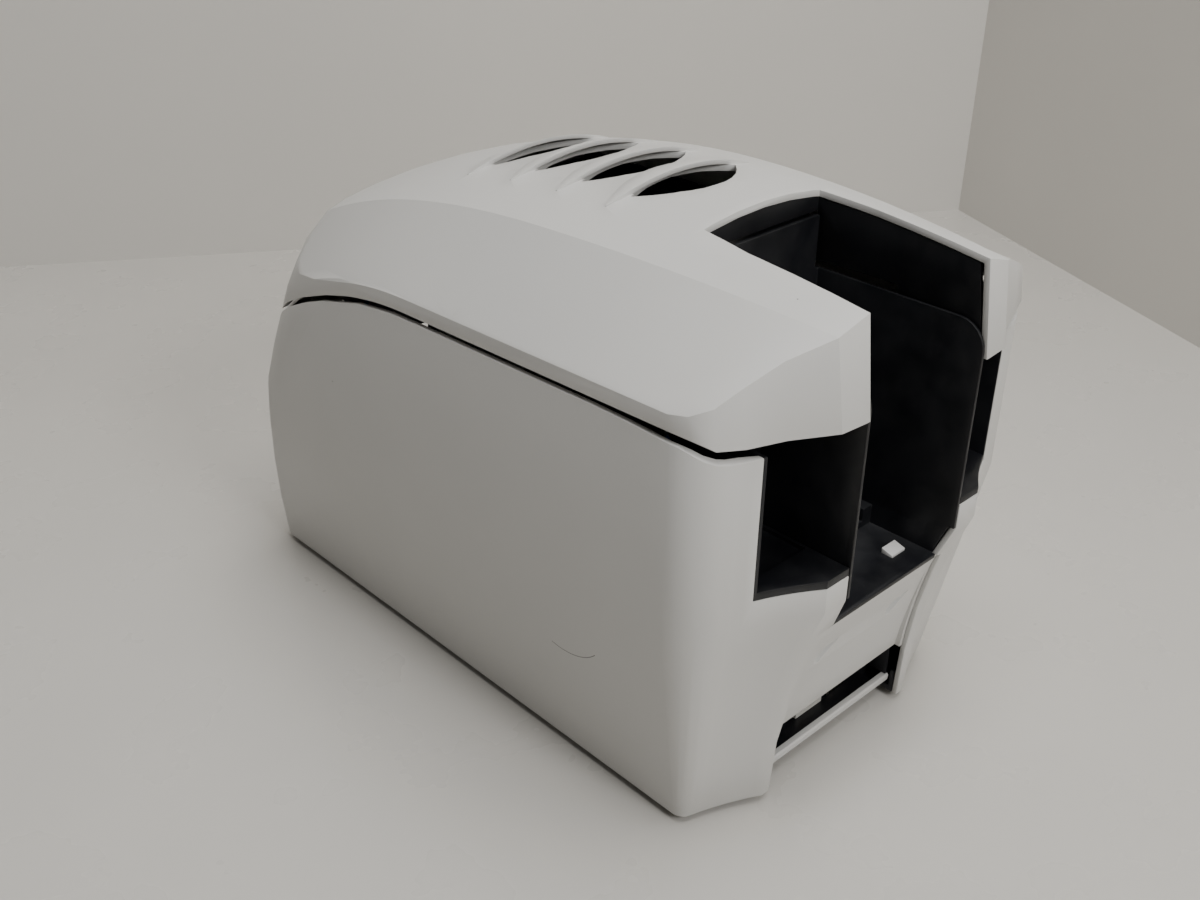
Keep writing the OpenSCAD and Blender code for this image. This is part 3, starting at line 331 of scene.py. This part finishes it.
COVERS = ["hood_shell", "side_casing_right", "side_casing_left", "rear_panel", "port_sill", "front_panel",
          "control_button", "feeder_catch"]
LINERS = ["notch_liner", "hood_liner", "hinge_arm_right", "hinge_arm_left", "base_pan", "feeder_bay",
          "pocket_liner_right", "pocket_liner_left", "connector_plate"]
FINISHES = {
    "dark": ["catch_tongue", "power_socket", "vent_fan_rotor", "vent_fan_frame", "motor"],
    "rubber": ["rubber_feet", "platen_sleeve", "feed_tyres", "eject_tyres"],
    "steel": ["head_bracket", "side_frame_right", "side_frame_left", "hinge_bracket_right", "hinge_bracket_left",
              "catch_clip", "thickness_gate", "head_hangers", "base_screws"],
    "shaft": ["hinge_pin_right", "hinge_pin_left", "cross_ties", "platen_shaft", "feed_shaft", "eject_shaft",
              "head_pivot_rod"],
    "sink": ["head_heat_sink"],
    "ceramic": ["thermal_head"],
    "acetal": ["platen_gear", "feed_gear", "eject_gear", "idler_front", "idler_rear", "supply_core", "takeup_core"],
    "brass": ["motor_pinion"],
    "ribbon_full": ["supply_ribbon"],
    "ribbon_used": ["takeup_ribbon"],
    "cleaner": ["cleaning_roller"],
    "lens": ["button_lenses"],
    "board": ["main_board"],
    "nickel": ["usb_socket"],
    "insert": ["network_socket"],
}


# Modelling steps


def deselect():
    if bpy.context.object and bpy.context.object.mode != "OBJECT":
        bpy.ops.object.mode_set(mode="OBJECT")
    bpy.ops.object.select_all(action="DESELECT")


def pick(piece):
    deselect()
    piece.select_set(True)
    bpy.context.view_layer.objects.active = piece


def start(name, primitive, **options):
    """Adds a primitive and names it."""
    deselect()
    primitive(**options)
    piece = bpy.context.object
    piece.name = piece.data.name = name
    return piece


def select_faces(piece, wanted):
    """Selects, in edit mode, the faces whose middle and normal are wanted."""
    pick(piece)
    bpy.ops.object.mode_set(mode="EDIT")
    bpy.ops.mesh.select_mode(type="FACE")
    bpy.ops.mesh.select_all(action="DESELECT")
    mesh = bmesh.from_edit_mesh(piece.data)
    for face in mesh.faces:
        face.select_set(wanted(face.calc_center_median(), face.normal))
    bmesh.update_edit_mesh(piece.data)


def round_edges(piece, width, angle=40, segments=2):
    pick(piece)
    step = piece.modifiers.new("edges", "BEVEL")
    step.width = width
    step.segments = segments
    step.limit_method = "ANGLE"
    step.angle_limit = math.radians(angle)
    bpy.ops.object.modifier_apply(modifier=step.name)


def finish(piece, material, smooth=35):
    """Brings the piece's place into its mesh, and gives it its finish and soft shading."""
    pick(piece)
    bpy.ops.object.transform_apply(location=True, rotation=True, scale=True)
    piece.data.materials.clear()
    piece.data.materials.append(MATERIALS[material])
    bpy.ops.object.shade_smooth_by_angle(angle=math.radians(smooth))
    return piece


def join(name, pieces):
    deselect()
    for piece in pieces:
        piece.select_set(True)
    bpy.context.view_layer.objects.active = pieces[0]
    bpy.ops.object.join()
    whole = bpy.context.object
    whole.name = whole.data.name = name
    return whole


def body_of(node):
    bodies = frame["record"]["behaviour"]["bodies"]
    return next(body for body, nodes in bodies.items() if node in nodes)


def moulded(node, edge, material, smooth=30):
    """A moulding in a node's place: a copy of the node's mesh, merged, with rounded edges and soft shading."""
    pick(frame["nodes"][node])
    bpy.ops.object.duplicate()
    piece = bpy.context.object
    piece.parent = None
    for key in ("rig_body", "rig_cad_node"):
        del piece[key]
    piece.name = piece.data.name = f"{node}_moulding"
    bpy.ops.object.mode_set(mode="EDIT")
    bpy.ops.mesh.select_all(action="SELECT")
    bpy.ops.mesh.customdata_custom_splitnormals_clear()
    bpy.ops.mesh.remove_doubles(threshold=0.002 * MM)
    bpy.ops.mesh.dissolve_limited(angle_limit=math.radians(0.3))
    bpy.ops.object.mode_set(mode="OBJECT")
    round_edges(piece, edge)
    finish(piece, material, smooth)
    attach(piece, body_of(node))
    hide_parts(node)
    return piece


class PRINTER_OT_finishes(bpy.types.Operator):
    """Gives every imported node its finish"""

    bl_idname = "printer.finishes"
    bl_label = "Finishes"

    def execute(self, context):
        make_materials()
        for finish_name, nodes in [("shell", COVERS), ("dark", LINERS), *FINISHES.items()]:
            for node in nodes:
                data = frame["nodes"][node].data
                data.materials.clear()
                data.materials.append(MATERIALS[finish_name])
        return {"FINISHED"}


def on_crest(point):
    """Whether a point of the hood lies on its side crest, or on the line that goes on down its rear face."""
    crest = CREST_X - CREST_BOW * (point.y / MM - CREST_Y) ** 2
    return abs(abs(point.x) / MM - crest) < CREST_NEAR


def sharpen_crest(hood):
    """Marks the long edges of the hood's crest as sharp, so that the roof and the side meet in a line."""
    pick(hood)
    mesh = bmesh.new()
    mesh.from_mesh(hood.data)
    mesh.normal_update()
    found = 0
    for edge in mesh.edges:
        if all(on_crest(corner.co) for corner in edge.verts) and edge.calc_face_angle(0) > math.radians(5):
            edge.smooth = False
            found += 1
    mesh.to_mesh(hood.data)
    mesh.free()
    if not found:
        raise RuntimeError("the hood has no crest to sharpen")


class PRINTER_OT_covers(bpy.types.Operator):
    """White mouldings with rounded edges"""

    bl_idname = "printer.covers"
    bl_label = "White covers"

    def execute(self, context):
        for node in COVERS:
            piece = moulded(node, sizes().cover_edge, "shell")
            if node == "hood_shell":
                sharpen_crest(piece)
        return {"FINISHED"}


class PRINTER_OT_liners(bpy.types.Operator):
    """Black mouldings with rounded edges"""

    bl_idname = "printer.liners"
    bl_label = "Black liners"

    def execute(self, context):
        for node in LINERS:
            moulded(node, sizes().liner_edge, "dark")
        return {"FINISHED"}


class PRINTER_OT_frame_screws(bpy.types.Operator):
    """Pan-head screws where the cross ties meet the steel frames"""

    bl_idname = "printer.frame_screws"
    bl_label = "Frame screws"

    def execute(self, context):
        radius = sizes().screw_head
        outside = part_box("side_frame_right")[1].x
        for side, sign in (("right", 1), ("left", -1)):
            heads = []
            for y, z in TIE_PLACES:
                head = start("head", bpy.ops.mesh.primitive_cylinder_add, vertices=24, radius=radius,
                             depth=SCREW_HEIGHT * MM,
                             location=(sign * (outside + SCREW_HEIGHT / 2 * MM), y * MM, z * MM),
                             rotation=(0, sign * math.pi / 2, 0))
                select_faces(head, lambda middle, normal: normal.z > 0.9)
                bpy.ops.mesh.inset(thickness=radius * DRIVE_INSET)
                bpy.ops.mesh.extrude_region_move(TRANSFORM_OT_translate={"value": (-sign * DRIVE_DEPTH * MM, 0, 0)})
                bpy.ops.object.mode_set(mode="OBJECT")
                round_edges(head, 0.25 * MM)
                heads.append(finish(head, "shaft"))
            screws = join(f"tie_screws_{side}", heads)
            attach(screws, "base")
        return {"FINISHED"}


class PRINTER_OT_contacts(bpy.types.Operator):
    """Eight spring contacts in the roof of the network socket"""

    bl_idname = "printer.contacts"
    bl_label = "Network contacts"

    def execute(self, context):
        low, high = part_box("network_socket")
        middle = (low.x + high.x) / 2
        springs = []
        for i in range(CONTACT_COUNT):
            spring = start("spring", bpy.ops.mesh.primitive_cube_add, size=1,
                           location=(middle + (i - (CONTACT_COUNT - 1) / 2) * CONTACT_PITCH * MM,
                                     high.y - CONTACT_IN * MM, high.z - CONTACT_DOWN * MM))
            spring.scale = (sizes().contact, CONTACT_LENGTH * MM, CONTACT_THICKNESS * MM)
            bpy.ops.object.transform_apply(location=False, rotation=False, scale=True)
            select_faces(spring, lambda middle, normal: normal.y > 0.9)
            run, drop = CONTACT_TIP
            bpy.ops.mesh.extrude_region_move(TRANSFORM_OT_translate={"value": (0, run * MM, -drop * MM)})
            bpy.ops.object.mode_set(mode="OBJECT")
            round_edges(spring, 0.08 * MM, 20)
            springs.append(finish(spring, "gold"))
        contacts = join("network_contacts", springs)
        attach(contacts, "base")
        return {"FINISHED"}


class PRINTER_OT_capacitors(bpy.types.Operator):
    """Three sleeved capacitors that stand on the main board"""

    bl_idname = "printer.capacitors"
    bl_label = "Capacitors"

    def execute(self, context):
        low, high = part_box("main_board")
        radius = sizes().capacitor
        cans = []
        for i in range(CAPACITOR_COUNT):
            can = start("can", bpy.ops.mesh.primitive_cylinder_add, vertices=32, radius=radius,
                        depth=CAPACITOR_HEIGHT * MM,
                        location=(high.x - (CAPACITOR_IN + CAPACITOR_PITCH * i) * MM,
                                  low.y + CAPACITOR_IN * MM, low.z + CAPACITOR_MIDDLE * MM))
            select_faces(can, lambda middle, normal: normal.z > 0.9)
            bpy.ops.mesh.inset(thickness=0.7 * MM)
            bpy.ops.mesh.extrude_region_move(TRANSFORM_OT_translate={"value": (0, 0, -0.5 * MM)})
            bpy.ops.object.mode_set(mode="OBJECT")
            round_edges(can, 0.4 * MM)
            cans.append(finish(can, "sleeve"))
        capacitors = join("board_capacitors", cans)
        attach(capacitors, "base")
        return {"FINISHED"}


class PRINTER_OT_stage(bpy.types.Operator):
    """Pale table, two walls, soft lamps and the photo's camera"""

    bl_idname = "printer.stage"
    bl_label = "Stage"

    def execute(self, context):
        floor = start("table_top", bpy.ops.mesh.primitive_plane_add, size=6, location=(0, 0, 0))
        finish(floor, "table")
        for i, (turn, way) in enumerate(zip(WALL_TURNS, (-1, 1))):
            along = Vector((math.cos(math.radians(turn)), math.sin(math.radians(turn)), 0))
            middle = mm(*WALL_CORNER, WALL_LENGTH / 2) + way * along * WALL_LENGTH / 2 * MM
            wall = start(f"wall_{i + 1}", bpy.ops.mesh.primitive_plane_add, size=WALL_LENGTH * MM, location=middle,
                         rotation=(math.pi / 2, 0, math.radians(turn)))
            finish(wall, "wall")
        self.lights()
        self.camera()
        return {"FINISHED"}

    def lights(self):
        world = bpy.data.worlds.new("studio")
        bpy.context.scene.world = world
        world.use_nodes = True
        sky = world.node_tree.nodes["Background"]
        sky.inputs["Color"].default_value = SKY_COLOUR
        sky.inputs["Strength"].default_value = SKY_STRENGTH
        for name, place, size, power in LAMPS:
            bpy.ops.object.light_add(type="AREA", location=place)
            light = bpy.context.object
            light.name = name
            light.data.size = size
            light.data.energy = power
            light.rotation_euler = (Vector(LAMP_AIM) - Vector(place)).to_track_quat("-Z", "Y").to_euler()

    def camera(self):
        heading, pitch, roll = (math.radians(v) for v in (CAMERA_HEADING, CAMERA_PITCH, CAMERA_ROLL))
        ahead = Vector((math.sin(heading) * math.cos(pitch), math.cos(heading) * math.cos(pitch), -math.sin(pitch)))
        right = ahead.cross(Vector((0, 0, 1))).normalized()
        down = ahead.cross(right)
        turned_right = math.cos(roll) * right + math.sin(roll) * down
        turned_down = math.cos(roll) * down - math.sin(roll) * right
        bpy.ops.object.camera_add()
        camera = bpy.context.object
        camera.name = "photo_camera"
        turn = Matrix((turned_right, -turned_down, -ahead)).transposed().to_4x4()
        camera.matrix_world = Matrix.Translation(mm(*CAMERA_PLACE)) @ turn
        camera.data.lens = CAMERA_LENS
        camera.data.sensor_width = SENSOR_WIDTH
        camera.data.clip_start = 0.01
        bpy.context.scene.camera = camera


class PRINTER_PT_panel(bpy.types.Panel):
    """Lists the printer's sizes, colours and steps"""

    bl_label = "Card Printer"
    bl_idname = "PRINTER_PT_panel"
    bl_space_type = "VIEW_3D"
    bl_region_type = "UI"
    bl_category = "Card Printer"

    def draw(self, context):
        for group in (sizes(), colours()):
            for name in group.__annotations__:
                self.layout.prop(group, name)
        for step in STEPS:
            self.layout.operator(step.bl_idname)


# Middles of the cross ties' ends, as y and z in mm
TIE_PLACES = ((-100, 30), (-100, 84), (52, 36))

STEPS = (PRINTER_OT_finishes, PRINTER_OT_covers, PRINTER_OT_liners, PRINTER_OT_frame_screws, PRINTER_OT_contacts,
         PRINTER_OT_capacitors, PRINTER_OT_stage)
CLASSES = (PrinterSizes, PrinterColours) + STEPS + (PRINTER_PT_panel,)


def register():
    for item in CLASSES:
        bpy.utils.register_class(item)
    bpy.types.Scene.printer_sizes = PointerProperty(type=PrinterSizes)
    bpy.types.Scene.printer_colours = PointerProperty(type=PrinterColours)


def unregister():
    del bpy.types.Scene.printer_colours
    del bpy.types.Scene.printer_sizes
    for item in reversed(CLASSES):
        bpy.utils.unregister_class(item)


def main():
    register()
    for step in STEPS:
        group, name = step.bl_idname.split(".")
        getattr(getattr(bpy.ops, group), name)()


if __name__ == "__main__":
    main()
